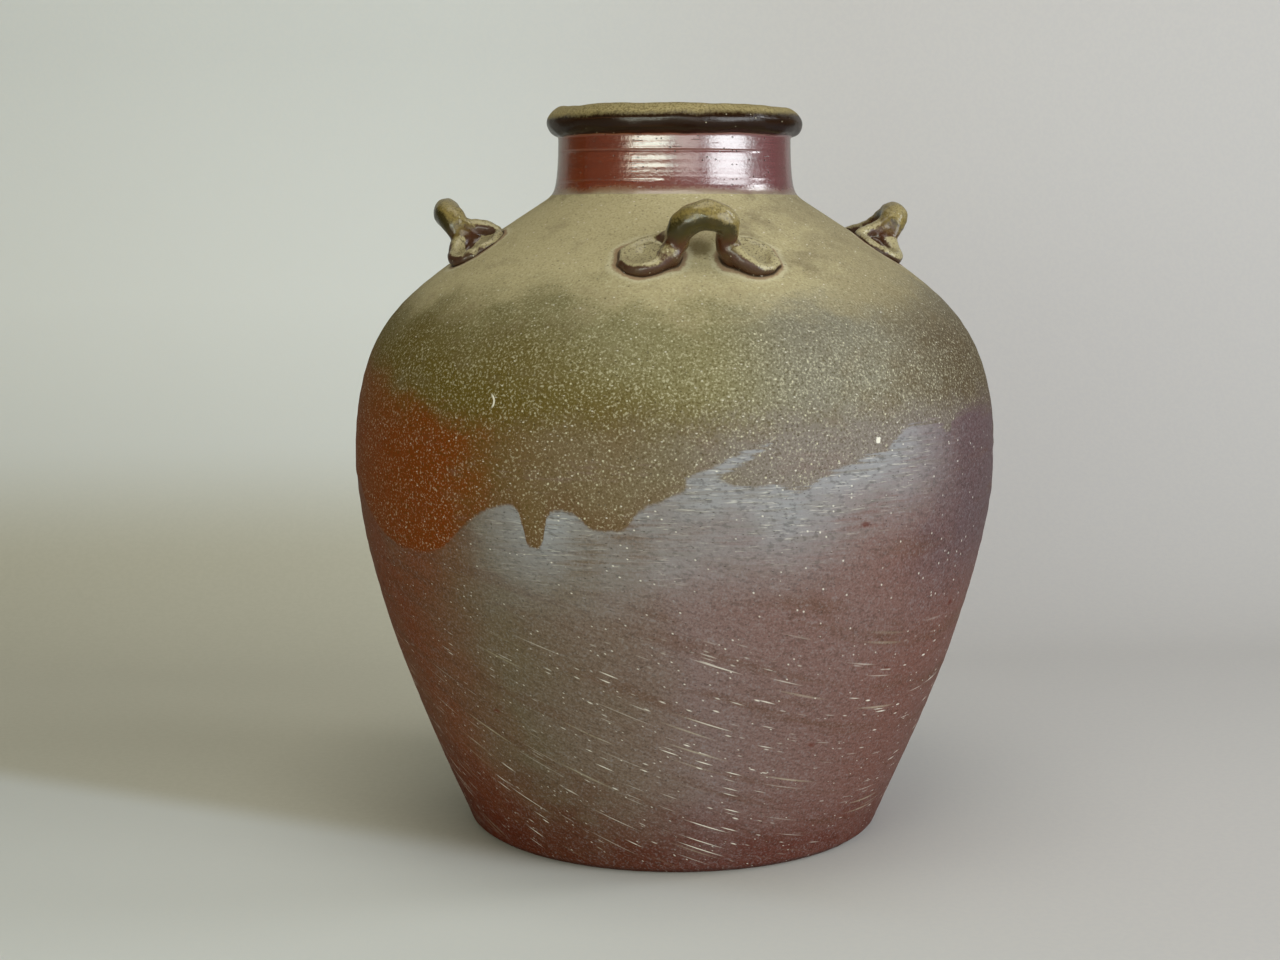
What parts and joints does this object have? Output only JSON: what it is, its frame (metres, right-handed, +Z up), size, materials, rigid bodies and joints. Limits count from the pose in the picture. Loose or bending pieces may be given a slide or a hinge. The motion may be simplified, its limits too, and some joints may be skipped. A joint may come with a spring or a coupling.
{
  "type": "ceramic vase",
  "caption": "Round-shouldered stoneware jar with a short collar, a rolled lip and looped lugs on the shoulder, for storing liquids or grain or for holding tall stems.",
  "frame": {"origin": "centre of the flat base, on the surface the jar stands on", "axes": "+Z up the jar's axis, -Y through the front lug, +X through the right lug"},
  "size_m": [0.285, 0.285, 0.32],
  "materials": {
    "bare_foot": "bare red-brown stoneware, matt and gritty underneath",
    "flashed_body": "unglazed stoneware flashed red-brown, grey and mauve by the fire, with a faint sheen, white grit and dragged streaks",
    "ash_shoulder": "olive natural ash, dry and finely speckled, fading into the bare body below the widest part",
    "glossy_neck": "glossy red-brown flashed clay with throwing lines and small pits",
    "ash_rim": "olive ash on top over a dark glossy brown face",
    "ash_lug": "olive-gold ash on top over glossy dark brown clay"
  },
  "bodies": {
    "root": {"base_slab": "bare_foot", "lower_wall": "flashed_body", "upper_wall": "ash_shoulder", "neck_collar": "glossy_neck", "rim_roll": "ash_rim", "lug_front": "ash_lug", "lug_right": "ash_lug", "lug_back": "ash_lug", "lug_left": "ash_lug"}
  },
  "joints": []
}
